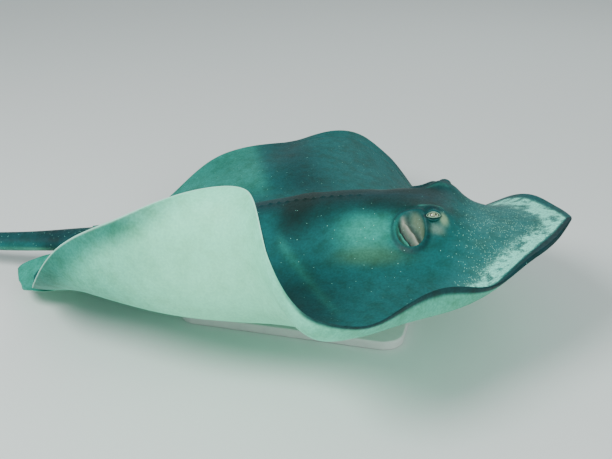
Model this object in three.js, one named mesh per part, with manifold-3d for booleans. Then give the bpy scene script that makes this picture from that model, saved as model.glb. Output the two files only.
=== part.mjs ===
// A life-size southern stingray gliding just above the ground, carried on a plain display stand.
// Millimetres, +Z up, nose to +X. The right fin (-Y) curls up into a wall, the left one is lifted.
import * as THREE from 'three';
import Module from 'manifold-3d';

const wasm = await Module();
wasm.setup();

// ---- body sizes: lengths in mm, or in shares of the disc width where named SHARE ----
const DISC_WIDTH = 1150;
const WIDEST_SHARE = 0.44; // how far behind the snout the disc is widest
const REAR_SHARE = 0.5; // from the widest line back to where the rear margins would meet
const FRONT_CURVE = [1.8, 0.95]; // roundness of the front margin
const SNOUT_BLUNT = 0.45; // how much wider the snout's very tip is, which fades by its LENGTH
const SNOUT_BLUNT_LENGTH = 0.03;
const REAR_CURVE = [1.75, 0.8]; // roundness of the rear margin
const HEAD_END = 0.275; // shares of the disc width behind the snout
const TRUNK_END = 0.8;
const FIN_REAR_CORNER = 0.895;
const FIN_FRONT_CORNER = 0.052;
const FIN_TIP_FROM = 0.29; // the fin's own cut between root and tip, measured outward
const GAP = 0.3;
const EDGE_HALF = 1.5; // half the thickness of the free margin
const FIN_HALF = 26; // how much the fin thickens toward the body
const TAIL_LENGTH = 1350;
const TAIL_CUTS = [330, 760]; // from the end of the trunk
const EYE_RADIUS = 13;
const EYE_SUNK = 10.5;
const EYE_AT = [0.2025, 0.064];
const SPIRACLE_AT = [0.239, 0.087];

// ---- the pose, in degrees ----
const NOSE_UP = 7.7;
const BODY_HEIGHT = 130; // of the disc's middle above the floor
const SNOUT_LIFT = 48; // mm the snout curves up
const REAR_LIFT = 26; // mm the hind part curves up
const CORNER_DROOP = 30; // mm the fins' rear corners hang
// Each fin bends upward going outward: first at its root, then at its tip, then in a last curl,
// and along its front margin in a narrow rim. Spans are shares of the disc width.
const ROOT_BEND_AT = [0.02, 0.14, 0.26, 0.38, 0.55, 0.82];
const TIP_BEND_AT = [0.1, 0.2, 0.3, 0.42, 0.6, 0.85];
const RIM_BEND_AT = [0.02, 0.09, 0.16, 0.23, 0.3, 0.36];
const RIM_WIDTH = 0.07;
const RIGHT_FIN = {
  root: [-46, 0, 6, -1, 4, 29], rootSpan: [0.108, 0.193],
  tip: [65, 20, 15, 89.5, 71, 77.5], tipSpan: [0.2, 0.38],
  curl: 62.5, curlSpan: [0.4, 0.5],
  rim: [-2, 35, 78, 26, 52, 2],
};
const LEFT_FIN = {
  root: [18, -11, -17.4, 1, 14, -6.6], rootSpan: [0.04, 0.12],
  tip: [1.5, -1.6, -5, -4.4, -10, 60], tipSpan: [0.174, 0.34],
  curl: 13, curlSpan: [0.453, 0.5],
  rim: [0, 0, 0, 0, 0, 0],
};
const TAIL_SLOPE_AT = [0, 110, 300, 500, 900, 1350];
const TAIL_SLOPE = [5.6, -1, 3, 7, 8, 7]; // upward going back, in the body's own frame
const TAIL_SWING = [0, 0, -1, -4, -9, -14]; // sideways, toward the right

// ---- small maths ----
const rad = THREE.MathUtils.degToRad;
const { clamp } = THREE.MathUtils;
const step = (x, a, b) => THREE.MathUtils.smoothstep(x, a, b);
const bell = (x, middle, width) => Math.exp(-(((x - middle) / width) ** 2));

// A smooth curve through values given at rising places.
function through(places, values, at) {
  const x = clamp(at, places[0], places[places.length - 1]);
  const last = places.length - 1;
  let i = 0;
  while (i < last - 1 && x >= places[i + 1]) i += 1;
  const slope = (k) => {
    const [a, b] = [Math.max(k - 1, 0), Math.min(k + 1, last)];
    return (values[b] - values[a]) / (places[b] - places[a]);
  };
  const h = places[i + 1] - places[i];
  const t = (x - places[i]) / h;
  return (2 * t ** 3 - 3 * t ** 2 + 1) * values[i] + (t ** 3 - 2 * t ** 2 + t) * h * slope(i)
    + (3 * t ** 2 - 2 * t ** 3) * values[i + 1] + (t ** 3 - t ** 2) * h * slope(i + 1);
}

// ---- the disc at rest: back and side in shares of the disc width, heights in mm ----
function halfWidth(back) {
  if (back < WIDEST_SHARE) {
    const front = 1 - back / WIDEST_SHARE;
    const blunt = 1 + SNOUT_BLUNT * Math.exp(-back / SNOUT_BLUNT_LENGTH);
    return 0.5 * (1 - front ** FRONT_CURVE[0]) ** FRONT_CURVE[1] * blunt;
  }
  const rear = clamp((back - WIDEST_SHARE) / REAR_SHARE, 0, 1);
  return 0.5 * (1 - rear ** REAR_CURVE[0]) ** REAR_CURVE[1];
}

// Half width of the head and trunk between the fins.
const coreWidth = (back) => through(
  [0, 0.1, 0.2, 0.3, 0.45, 0.6, 0.72, 0.8],
  [0.115, 0.115, 0.13, 0.14, 0.135, 0.11, 0.07, 0.045], back);

// Inner edge of the fin, which leaves the tail behind the trunk.
function finInner(back) {
  if (back <= TRUNK_END) return coreWidth(back);
  const t = (back - TRUNK_END) / (FIN_REAR_CORNER - TRUNK_END);
  return coreWidth(TRUNK_END) + (halfWidth(FIN_REAR_CORNER) - 0.004 - coreWidth(TRUNK_END)) * t ** 1.6;
}

function finHalf(back, side) {
  const inward = Math.max(halfWidth(back) - side, 0);
  return EDGE_HALF + FIN_HALF * (2 * inward) ** 0.9;
}

const domeHeight = (back) => DISC_WIDTH * through(
  [0, 0.06, 0.12, 0.15, 0.18, 0.22, 0.3, 0.38, 0.5, 0.6, 0.7, 0.8, 0.87],
  [0, 0.009, 0.025, 0.04, 0.06, 0.068, 0.068, 0.065, 0.052, 0.037, 0.023, 0.013, 0.006], back);

const domeWidth = (back) => through([0, 0.15, 0.3, 0.5, 0.7, 0.8], [0.1, 0.12, 0.125, 0.11, 0.07, 0.05], back);

function topHeight(back, side) {
  const dome = domeHeight(back) * Math.exp(-((side / domeWidth(back)) ** 2.4));
  const brow = 19 * bell(back, EYE_AT[0], 0.03) * bell(side, 0.058, 0.02);
  const hollow = -5 * bell(back, 0.19, 0.05) * bell(side, 0, 0.03);
  return finHalf(back, side) + dome + brow + hollow;
}

function bottomDepth(back, side) {
  const belly = DISC_WIDTH * through([0, 0.08, 0.16, 0.24, 0.36, 0.5, 0.65, 0.8, 0.87],
    [0, 0.006, 0.018, 0.028, 0.035, 0.033, 0.023, 0.01, 0.004], back);
  return 0.8 * finHalf(back, side) + belly * Math.exp(-((side / 0.13) ** 3));
}

// ---- the pose: rest places to places in space ----
const SLICES = 32;

function finBend(fin, back, side) {
  const width = halfWidth(back);
  const root = rad(through(ROOT_BEND_AT, fin.root, back));
  const tip = rad(through(TIP_BEND_AT, fin.tip, back));
  const rim = rad(through(RIM_BEND_AT, fin.rim, back)) * step(width, 0, 0.12);
  let [out, up] = [0, 0];
  for (let i = 0; i < SLICES; i += 1) {
    const at = (side * (i + 0.5)) / SLICES;
    const angle = root * step(at, ...fin.rootSpan) + tip * step(at, ...fin.tipSpan)
      + rad(fin.curl) * step(at, ...fin.curlSpan) + rim * step(at, width - RIM_WIDTH, width);
    out += Math.cos(angle) / SLICES;
    up += Math.sin(angle) / SLICES;
  }
  return [out * side * DISC_WIDTH, up * side * DISC_WIDTH];
}

// A place on the middle sheet of the disc. side is positive to the left.
function sheet(back, side) {
  const [out, up] = finBend(side < 0 ? RIGHT_FIN : LEFT_FIN, back, Math.abs(side));
  const snout = Math.max(1 - back / 0.2, 0);
  const rear = Math.max((back - 0.5) / 0.37, 0);
  const corner = step(back, 0.7, 0.87) * step(Math.abs(side), 0.03, 0.13);
  return new THREE.Vector3((WIDEST_SHARE - back) * DISC_WIDTH, side < 0 ? -out : out,
    up + SNOUT_LIFT * snout ** 2 + REAR_LIFT * rear ** 2 - CORNER_DROOP * corner);
}

const carried = new THREE.Matrix4().makeTranslation(0, 0, BODY_HEIGHT)
  .multiply(new THREE.Matrix4().makeRotationY(rad(-NOSE_UP)));

// Forward, left and up directions and the place itself, for something standing on the sheet.
function sheetFrame(back, side, height = 0) {
  const e = 0.0006;
  const forward = sheet(back - e, side).sub(sheet(back + e, side)).normalize();
  const across = sheet(back, side + e).sub(sheet(back, side - e));
  const up = forward.clone().cross(across).normalize();
  const left = up.clone().cross(forward);
  const at = sheet(back, side).addScaledVector(up, height);
  return carried.clone().multiply(new THREE.Matrix4().makeBasis(forward, left, up).setPosition(at));
}

const onDisc = (back, side, height) => new THREE.Vector3().setFromMatrixPosition(sheetFrame(back, side, height));

// The tail's middle line, walked back from the end of the trunk in short steps.
const TAIL_STEP = 5;
const tailLine = [];
{
  const at = sheet(TRUNK_END, 0);
  for (let l = 0; l <= TAIL_LENGTH; l += TAIL_STEP) {
    const slope = rad(through(TAIL_SLOPE_AT, TAIL_SLOPE, l));
    const swing = rad(through(TAIL_SLOPE_AT, TAIL_SWING, l));
    const along = new THREE.Vector3(-Math.cos(slope) * Math.cos(swing), Math.sin(swing),
      Math.sin(slope) * Math.cos(swing));
    tailLine.push({ at: at.clone(), along });
    at.addScaledVector(along, TAIL_STEP);
  }
}

function tailFrame(l) {
  const i = Math.min(Math.floor(l / TAIL_STEP), tailLine.length - 1);
  const { at, along } = tailLine[i];
  const forward = along.clone().negate();
  const left = new THREE.Vector3(0, 0, 1).cross(forward).normalize();
  const up = forward.clone().cross(left);
  const place = at.clone().addScaledVector(along, l - i * TAIL_STEP);
  return carried.clone().multiply(new THREE.Matrix4().makeBasis(forward, left, up).setPosition(place));
}

const TAIL_SIZE_AT = [0, 60, 150, 300, 480, 800, 1100, 1350];
const tailWidth = (l) => through(TAIL_SIZE_AT, [50, 37, 28, 22, 15, 8.5, 5, 2.2], l);
const tailHeight = (l) => through(TAIL_SIZE_AT, [24, 22, 20, 18, 13, 7.5, 4.5, 2], l);
// The low fin fold under the tail.
const foldDepth = (l) => 13 * step(l, 330, 400) * (1 - step(l, 620, 740));

// ---- solids ----
// rows: arrays of top places and bottom places, row after row, all of one length.
function loft(rows, place) {
  const count = rows[0].length;
  const vertices = [];
  rows.forEach((row) => row.forEach((spot) => {
    const top = place(...spot, 1);
    const bottom = place(...spot, -1);
    vertices.push(top.x, top.y, top.z, bottom.x, bottom.y, bottom.z);
  }));
  const id = (r, c, low) => 2 * (r * count + c) + (low ? 1 : 0);
  const faces = [];
  const quad = (a, b, c, d) => faces.push(a, b, c, a, c, d);
  for (let r = 0; r < rows.length - 1; r += 1) {
    for (let c = 0; c < count - 1; c += 1) {
      quad(id(r, c), id(r, c + 1), id(r + 1, c + 1), id(r + 1, c));
      quad(id(r, c, 1), id(r + 1, c, 1), id(r + 1, c + 1, 1), id(r, c + 1, 1));
    }
    quad(id(r, 0), id(r + 1, 0), id(r + 1, 0, 1), id(r, 0, 1));
    quad(id(r, count - 1), id(r, count - 1, 1), id(r + 1, count - 1, 1), id(r + 1, count - 1));
  }
  const end = rows.length - 1;
  for (let c = 0; c < count - 1; c += 1) {
    quad(id(0, c), id(0, c, 1), id(0, c + 1, 1), id(0, c + 1));
    quad(id(end, c), id(end, c + 1), id(end, c + 1, 1), id(end, c, 1));
  }
  return solidOf(vertices, faces);
}

function solidOf(vertices, faces) {
  const build = (tri) => new wasm.Manifold(new wasm.Mesh({
    numProp: 3, vertProperties: new Float32Array(vertices), triVerts: new Uint32Array(tri),
  }));
  const solid = build(faces);
  if (solid.volume() > 0) return solid;
  const turned = [];
  for (let i = 0; i < faces.length; i += 3) turned.push(faces[i], faces[i + 2], faces[i + 1]);
  return build(turned);
}

// A closed three.js geometry as a solid, welded by place.
function solidFrom(geometry, matrix) {
  const shape = geometry.clone();
  if (matrix) shape.applyMatrix4(matrix);
  const position = shape.attributes.position;
  const index = shape.index ? Array.from(shape.index.array) : [...Array(position.count).keys()];
  const seen = new Map();
  const vertices = [];
  const welded = index.map((i) => {
    const p = [position.getX(i), position.getY(i), position.getZ(i)];
    const key = p.map((v) => Math.round(v * 1e4)).join();
    if (!seen.has(key)) {
      seen.set(key, vertices.length / 3);
      vertices.push(...p);
    }
    return seen.get(key);
  });
  const faces = [];
  for (let i = 0; i < welded.length; i += 3) {
    const [a, b, c] = welded.slice(i, i + 3);
    if (a !== b && b !== c && a !== c) faces.push(a, b, c);
  }
  return solidOf(vertices, faces);
}

const range = (from, to, count) => Array.from({ length: count + 1 }, (_, i) => from + ((to - from) * i) / count);
const gapShare = GAP / 2 / DISC_WIDTH;
const discSpot = (back, side, sign) => onDisc(back, side,
  sign > 0 ? topHeight(back, Math.abs(side)) : -bottomDepth(back, Math.abs(side)));

// The cross lines shared by head, trunk and fins, so that they meet along the same edges.
const crossLines = [
  0.002, 0.006, 0.014, 0.026, 0.04, FIN_FRONT_CORNER, ...range(0.068, HEAD_END, 13),
  ...range(HEAD_END, TRUNK_END, 16).slice(1),
];
const rearLines = range(TRUNK_END, FIN_REAR_CORNER, 4).slice(1);

function lengthwise(from, to) {
  const inside = crossLines.filter((back) => back > from + 0.001 && back < to - 0.001);
  return [from + gapShare, ...inside, to - gapShare];
}

function coreSolid(from, to, across) {
  const rows = lengthwise(from, to).map((back) => {
    const half = Math.min(halfWidth(back), coreWidth(back) - gapShare);
    return range(-1, 1, across).map((t) => [back, half * t]);
  });
  return loft(rows, discSpot);
}

function finSolid(sign, lines, inner, outer, across) {
  const rows = lines.map((back) => range(0, 1, across).map((t) => {
    const [a, b] = [inner(back) + gapShare, Math.max(outer(back), inner(back) + gapShare + 0.0015)];
    return [back, sign * (b - (b - a) * (1 - t) ** 1.4)];
  }));
  return loft(rows, discSpot);
}

function tailSolid(from, to, count, across) {
  const rows = range(from + GAP / 2, to - GAP / 2, count)
    .map((l) => range(-1, 1, across).map((t) => [l, Math.sin((t * Math.PI) / 2)]));
  return loft(rows, (l, t, sign) => {
    const rounded = Math.max(Math.sqrt(Math.max(1 - t * t, 0)), 0.08);
    const keel = sign < 0 ? foldDepth(l) * Math.max(1 - Math.abs(t) / 0.28, 0) : 0;
    return new THREE.Vector3(0, t * tailWidth(l), sign * tailHeight(l) * rounded - keel)
      .applyMatrix4(tailFrame(l));
  });
}

// A rounded lobe on each side of the tail's root, lying just under the fin's rear corner.
const PELVIC = { from: 0.785, to: 0.97, width: 0.1, half: 3.6, droop: 56 };

function pelvicSolid(sign) {
  const rows = range(0, 1, 12).map((u) => {
    const back = PELVIC.from + (PELVIC.to - PELVIC.from) * u;
    const besideTail = Math.max(tailWidth(Math.max(back - TRUNK_END, 0) * DISC_WIDTH) + 3, 34) / DISC_WIDTH;
    const inner = besideTail + 0.035 * Math.max(u - 0.6, 0);
    const outer = besideTail + 0.006 + PELVIC.width * Math.max(1 - Math.abs(2 * u - 1) ** 2.2, 0.02) ** 0.6;
    return range(0, 1, 6).map((t) => [back, sign * (inner + (outer - inner) * t), u, t]);
  });
  return loft(rows, (back, side, u, t, up) => {
    const half = PELVIC.half * (1 - 0.62 * Math.max(u, Math.abs(2 * t - 0.7)) ** 2);
    const under = bottomDepth(back, Math.abs(side)) + 2 + half + PELVIC.droop * u ** 2;
    return onDisc(back, side, -under + up * Math.max(half, 1.1));
  });
}

const ball = (radius, long, round) => new THREE.SphereGeometry(radius, long, round);
const stretch = (x, y, z) => new THREE.Matrix4().makeScale(x, y, z);
const turn = (x, y, z) => new THREE.Matrix4().makeRotationFromEuler(new THREE.Euler(rad(x), rad(y), rad(z)));

function eyeFrame(sign) {
  const height = topHeight(EYE_AT[0], EYE_AT[1]) - EYE_SUNK;
  return sheetFrame(EYE_AT[0], sign * EYE_AT[1], height);
}

const eyeSolid = (sign, extra) => solidFrom(ball(EYE_RADIUS + extra, 12, 8),
  eyeFrame(sign));

function spiracleCut(sign) {
  const frame = sheetFrame(SPIRACLE_AT[0], sign * SPIRACLE_AT[1], topHeight(...SPIRACLE_AT) + 1);
  return solidFrom(ball(1, 12, 6), frame.multiply(turn(sign * -24, 0, sign * 38)).multiply(stretch(31, 21, 18)));
}

function headSolid() {
  return [-1, 1].reduce((solid, sign) => solid.subtract(eyeSolid(sign, GAP)).subtract(spiracleCut(sign)),
    coreSolid(0.0015, HEAD_END, 14));
}

// The sting: a flat blade lying along the tail, tapering to a point.
const STING = { from: 300, length: 105, width: 9, thick: 4 };

function stingSolid() {
  const rows = range(0, 1, 7).map((u) => range(-1, 1, 2).map((t) => [u, t]));
  return loft(rows, (u, t, sign) => {
    const l = STING.from + STING.length * u;
    const wide = (STING.width / 2) * (u < 0.15 ? 0.75 + u * 1.6 : 1 - 0.88 * ((u - 0.15) / 0.85) ** 1.5);
    const lift = tailHeight(l) + GAP + STING.thick / 2 + 5 * u;
    const half = (STING.thick / 2) * (1 - 0.55 * u) * (1 - 0.45 * Math.abs(t));
    return new THREE.Vector3(0, t * wide, lift + sign * half).applyMatrix4(tailFrame(l));
  });
}

// ---- the stand ----
const BASE = { length: 440, width: 260, thick: 18, corner: 40, bevel: 3 };
const RODS = { stand_rod_front: 95, stand_rod_rear: -165 };
const ROD_RADIUS = 9;

function baseSolid() {
  const [l, w, c] = [BASE.length / 2 - BASE.bevel, BASE.width / 2 - BASE.bevel, BASE.corner];
  const shape = new THREE.Shape();
  shape.absarc(l - c, w - c, c, 0, Math.PI / 2);
  shape.absarc(c - l, w - c, c, Math.PI / 2, Math.PI);
  shape.absarc(c - l, c - w, c, Math.PI, 1.5 * Math.PI);
  shape.absarc(l - c, c - w, c, 1.5 * Math.PI, 2 * Math.PI);
  const geometry = new THREE.ExtrudeGeometry(shape, {
    depth: BASE.thick - 2 * BASE.bevel, bevelThickness: BASE.bevel, bevelSize: BASE.bevel,
    bevelSegments: 1, curveSegments: 5,
  });
  return solidFrom(geometry, new THREE.Matrix4().makeTranslation(0, 0, BASE.bevel));
}

function rodSolid(x, body) {
  const [low, high] = [BASE.thick + GAP, BODY_HEIGHT + 10];
  const geometry = new THREE.CylinderGeometry(ROD_RADIUS, ROD_RADIUS, high - low, 28);
  const matrix = new THREE.Matrix4().makeTranslation(x, 0, (low + high) / 2).multiply(turn(90, 0, 0));
  return solidFrom(geometry, matrix).subtract(body.translate([0, 0, -GAP]));
}

// ---- assembly ----
const root = crossLines.filter((back) => back >= FIN_FRONT_CORNER);
const tipLines = crossLines.filter((back) => halfWidth(back) > FIN_TIP_FROM + 0.004);
const rootEdge = (back) => Math.min(halfWidth(back), FIN_TIP_FROM - gapShare);
const trunk = coreSolid(HEAD_END, TRUNK_END, 14);

const MATERIALS = {
  skin: { color: 0x266467, roughness: 0.55, metalness: 0 },
  eye: { color: 0x1a1712, roughness: 0.12, metalness: 0 },
  sting: { color: 0xb9ab8c, roughness: 0.5, metalness: 0 },
  base: { color: 0xd9d8d2, roughness: 0.5, metalness: 0 },
  rod: { color: 0xb4b7ba, roughness: 0.3, metalness: 1 },
};

const solids = {
  head: [headSolid(), 'skin'],
  trunk: [trunk, 'skin'],
  tail_base: [tailSolid(0, TAIL_CUTS[0], 10, 8), 'skin'],
  tail_middle: [tailSolid(TAIL_CUTS[0], TAIL_CUTS[1], 12, 8), 'skin'],
  tail_whip: [tailSolid(TAIL_CUTS[1], TAIL_LENGTH, 12, 6), 'skin'],
  tail_sting: [stingSolid(), 'sting'],
  stand_base: [baseSolid(), 'base'],
};
for (const [side, sign] of [['right', -1], ['left', 1]]) {
  solids[`pectoral_fin_${side}`] = [finSolid(sign, [...root, ...rearLines], finInner, rootEdge, 6), 'skin'];
  solids[`pectoral_tip_${side}`] = [finSolid(sign, tipLines, () => FIN_TIP_FROM, halfWidth, 9), 'skin'];
  solids[`pelvic_fin_${side}`] = [pelvicSolid(sign), 'skin'];
  solids[`eye_${side}`] = [eyeSolid(sign, 0), 'eye'];
}
for (const [name, x] of Object.entries(RODS)) solids[name] = [rodSolid(x, trunk), 'rod'];

function meshOf(name, solid, material) {
  const { numProp, vertProperties, triVerts } = solid.getMesh();
  const geometry = new THREE.BufferGeometry();
  const places = new Float32Array((vertProperties.length / numProp) * 3);
  for (let i = 0; i < places.length / 3; i += 1) {
    places.set(vertProperties.subarray(i * numProp, i * numProp + 3), i * 3);
  }
  geometry.setAttribute('position', new THREE.BufferAttribute(places, 3));
  geometry.setIndex(new THREE.BufferAttribute(new Uint32Array(triVerts), 1));
  geometry.computeVertexNormals();
  const mesh = new THREE.Mesh(geometry, new THREE.MeshStandardMaterial({ name: material, ...MATERIALS[material] }));
  mesh.name = name;
  return mesh;
}

const stingray = new THREE.Group();
stingray.name = 'stingray';
for (const [name, [solid, material]] of Object.entries(solids)) stingray.add(meshOf(name, solid, material));

export default stingray;
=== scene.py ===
"""A southern stingray gliding low, on a plain display stand, in soft studio light."""
import math

import bpy
import numpy as np
from mathutils import Matrix, Vector
from mathutils.bvhtree import BVHTree


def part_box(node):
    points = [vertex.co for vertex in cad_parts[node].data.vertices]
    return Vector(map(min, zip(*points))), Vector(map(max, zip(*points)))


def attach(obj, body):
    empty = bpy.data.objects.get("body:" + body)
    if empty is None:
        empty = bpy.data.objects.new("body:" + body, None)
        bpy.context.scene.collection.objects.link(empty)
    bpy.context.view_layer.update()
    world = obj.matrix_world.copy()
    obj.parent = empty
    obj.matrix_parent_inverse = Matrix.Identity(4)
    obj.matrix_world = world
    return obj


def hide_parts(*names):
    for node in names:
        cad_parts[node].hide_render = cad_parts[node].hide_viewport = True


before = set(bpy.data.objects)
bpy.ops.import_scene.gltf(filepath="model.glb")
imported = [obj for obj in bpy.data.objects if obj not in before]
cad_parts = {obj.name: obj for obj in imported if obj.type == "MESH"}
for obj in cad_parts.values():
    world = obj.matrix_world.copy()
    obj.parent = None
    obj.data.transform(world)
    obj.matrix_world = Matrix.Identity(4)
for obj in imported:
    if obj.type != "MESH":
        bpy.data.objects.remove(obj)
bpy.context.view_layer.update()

# ---- body sizes: lengths in mm, places in shares of the disc width ----
# "back" is measured back from the snout, "side" out from the middle line.
DISC_WIDTH = 1150.0
WIDEST = 0.44
REAR_SHARE = 0.5
FRONT_CURVE, REAR_CURVE = (1.8, 0.95), (1.75, 0.8)
SNOUT_BLUNT, SNOUT_BLUNT_LENGTH = 0.45, 0.03
TRUNK_END, TRUNK_END_HALF = 0.8, 0.045
REAR_CORNER, REAR_CORNER_INSET = 0.895, 0.006
NOTCH_STRETCH = 2.5
EDGE_HALF = 1.5
EDGE_ROUND = 0.0022
FIN_HALF = 26.0
EYE_AT = (0.2025, 0.064)
EYE_RADIUS = 13.0
EYE_SUNK = 10.5
SPIRACLE_AT, SPIRACLE_SIZE = (0.236, 0.084), (0.0235, 0.028)
BACK_THORNS = {"count": 30, "first": 0.33, "apart": 0.0155}
MOUTH = {"back": 0.204, "half": 0.041, "arch": 0.01}
NOSTRIL = ((0.166 - 0.009, 0.043 + 0.008), (0.166 + 0.012, 0.043 - 0.007))
GILLS = [((b - 0.003, s + 0.012), (b + 0.003, s - 0.011))
         for b, s in ((0.287 + 0.025 * i, 0.09 - 0.0078 * i) for i in range(5))]
VENT = ((0.762, 0), (0.782, 0))

# Lengths along the tail, in mm from the end of the trunk. Its skin starts at TAIL_SUNK, inside the disc.
TAIL_LENGTH = 1350.0
TAIL_LEAD, TAIL_SUNK = -110.0, -56.0
TAIL_STEP = 5.0
TAIL_SIZE_AT = [-110, -60, 0, 60, 150, 300, 480, 800, 1100, 1350]
TAIL_HALF_WIDE = [40, 52, 47, 37, 28, 22, 15, 8.5, 5, 2.0]
TAIL_HALF_HIGH = [24, 29, 27, 22.5, 20, 18, 13, 7.5, 4.5, 1.8]
TAIL_THORNS = {"count": 17, "first": 8, "apart": 17}

# ---- the pose: heights and drops in mm, bends in degrees ----
# A fin bends at its root, its tip and its rim. Each bend is listed by place back, in ..._BEND_AT, and is
# spread over the stretch of side in ..._span, or over RIM_WIDTH. The curl is the same all along the fin.
NOSE_UP = 7.7
BODY_HEIGHT = 130.0
SNOUT_LIFT = 48.0
REAR_LIFT = 26.0
CORNER_DROOP = 30.0
ROOT_BEND_AT = [0.02, 0.14, 0.26, 0.38, 0.55, 0.82]
TIP_BEND_AT = [0.1, 0.2, 0.3, 0.42, 0.6, 0.85]
RIM_BEND_AT = [0.02, 0.09, 0.16, 0.23, 0.3, 0.36]
RIM_WIDTH = 0.07
BEND_SLICES = 32
RIGHT_FIN = {
    "root": [-46, 0, 6, -1, 4, 29], "root_span": (0.108, 0.193),
    "tip": [65, 20, 15, 89.5, 71, 77.5], "tip_span": (0.2, 0.38),
    "curl": 62.5, "curl_span": (0.4, 0.5), "rim": [-2, 35, 78, 26, 52, 2],
}
LEFT_FIN = {
    "root": [18, -11, -17.4, 1, 14, -6.6], "root_span": (0.04, 0.12),
    "tip": [1.5, -1.6, -5, -4.4, -10, 60], "tip_span": (0.174, 0.34),
    "curl": 13, "curl_span": (0.453, 0.5), "rim": [0, 0, 0, 0, 0, 0],
}
TAIL_AT = [0, 110, 300, 500, 900, 1350]
TAIL_SLOPE = [5.6, -1, 3, 7, 8, 7]
TAIL_SWING = [0, 0, -1, -4, -9, -14]


# ---- small maths on arrays ----
def smooth(x, a, b):
    t = np.clip((x - a) / (b - a), 0, 1)
    return t * t * (3 - 2 * t)


def bell(x, middle, width):
    return np.exp(-(((x - middle) / width) ** 2))


def blob(back, side, at, size):
    """1 in the middle of an oval patch, falling away round its edge."""
    return np.exp(-((((back - at[0]) / size[0]) ** 2 + ((side - at[1]) / size[1]) ** 2) ** 1.5))


def line_distance(back, side, line):
    """Distance in shares to a short straight line, given by its ends."""
    (back_0, side_0), (back_1, side_1) = line
    run, rise = back_1 - back_0, side_1 - side_0
    length = math.hypot(run, rise)
    t = np.clip(((back - back_0) * run + (side - side_0) * rise) / length**2, 0, 1)
    return np.hypot(back - back_0 - t * run, side - side_0 - t * rise)


def through(places, values, at):
    """A smooth curve through values given at rising places."""
    p, v = np.asarray(places, float), np.asarray(values, float)
    x = np.clip(at, p[0], p[-1])
    slope = np.r_[(v[1] - v[0]) / (p[1] - p[0]), (v[2:] - v[:-2]) / (p[2:] - p[:-2]),
                  (v[-1] - v[-2]) / (p[-1] - p[-2])]
    i = np.clip(np.searchsorted(p, x, side="right") - 1, 0, len(p) - 2)
    h = p[i + 1] - p[i]
    t = (x - p[i]) / h
    return ((2 * t**3 - 3 * t**2 + 1) * v[i] + (t**3 - 2 * t**2 + t) * h * slope[i]
            + (3 * t**2 - 2 * t**3) * v[i + 1] + (t**3 - t**2) * h * slope[i + 1])


def smooth_max(a, b, soft):
    """The larger of two, rounded over where they are less than soft apart."""
    near = np.maximum(soft - np.abs(a - b), 0) / soft
    return np.maximum(a, b) + near**2 * soft / 4


def unit(v):
    return v / np.maximum(np.linalg.norm(v, axis=-1, keepdims=True), 1e-9)


# ---- the disc at rest ----
def half_width(back):
    """The disc's outline: from the middle line to the free margin."""
    front = np.clip(1 - back / WIDEST, 0, 1)
    rear = np.clip((back - WIDEST) / REAR_SHARE, 0, 1)
    blunt = 1 + SNOUT_BLUNT * np.exp(-back / SNOUT_BLUNT_LENGTH)
    ahead = 0.5 * (1 - front ** FRONT_CURVE[0]) ** FRONT_CURVE[1] * blunt
    return np.where(back < WIDEST, ahead, 0.5 * (1 - rear ** REAR_CURVE[0]) ** REAR_CURVE[1])


def fin_inner(back):
    """The fin's inner edge, where it leaves the tail behind the trunk."""
    t = np.clip((back - TRUNK_END) / (REAR_CORNER - TRUNK_END), 0, 1)
    corner = float(half_width(np.array(REAR_CORNER))) - REAR_CORNER_INSET
    return TRUNK_END_HALF + (corner - TRUNK_END_HALF) * t**1.6


def inward(back, side):
    """How far a place is from the free margin, or from the notch where the fin leaves the tail."""
    notch = np.hypot(side - TRUNK_END_HALF, NOTCH_STRETCH * (TRUNK_END - back))
    inner = np.where(back > TRUNK_END, side - fin_inner(back), notch)
    return np.maximum(np.minimum(half_width(back) - side, inner), 0)


def fin_half(back, side):
    """Half the fin's thickness in mm, rounded off at its margin."""
    d = inward(back, side)
    rounded = np.sqrt(np.maximum(1 - (1 - np.minimum(d / EDGE_ROUND, 1)) ** 2, 0))
    return (EDGE_HALF + FIN_HALF * (2 * d) ** 0.9) * rounded


def dome(back, side):
    """How far the head and trunk stand up from the fins, in mm."""
    height = DISC_WIDTH * through(
        [0, 0.06, 0.12, 0.15, 0.18, 0.22, 0.3, 0.38, 0.5, 0.6, 0.7, 0.8, 0.87],
        [0, 0.009, 0.025, 0.04, 0.06, 0.068, 0.068, 0.065, 0.052, 0.037, 0.023, 0.009, 0.0], back)
    width = through([0, 0.15, 0.3, 0.5, 0.7, 0.8], [0.1, 0.12, 0.125, 0.11, 0.07, 0.05], back)
    return height * np.exp(-((side / width) ** 2.4))


def spiracle(back, side):
    """The hole behind the eye: how far out from its middle, and how far across and along its valve."""
    x, y = [(v - at) / size for v, at, size in zip((back, side), SPIRACLE_AT, SPIRACLE_SIZE)]
    eighth_turn = 0.707
    across, along = (x + y) * eighth_turn, (y - x) * eighth_turn
    reach = np.hypot(across / 0.92, along / 1.06)
    return reach, across, along


def top_height(back, side):
    """How far the back's skin is above the middle sheet, in mm, before its fine detail."""
    brow = 19 * bell(back, EYE_AT[0], 0.03) * bell(side, 0.058, 0.02)
    hollow = -5 * bell(back, 0.19, 0.05) * bell(side, 0, 0.03)
    return fin_half(back, side) + dome(back, side) + brow + hollow


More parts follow.
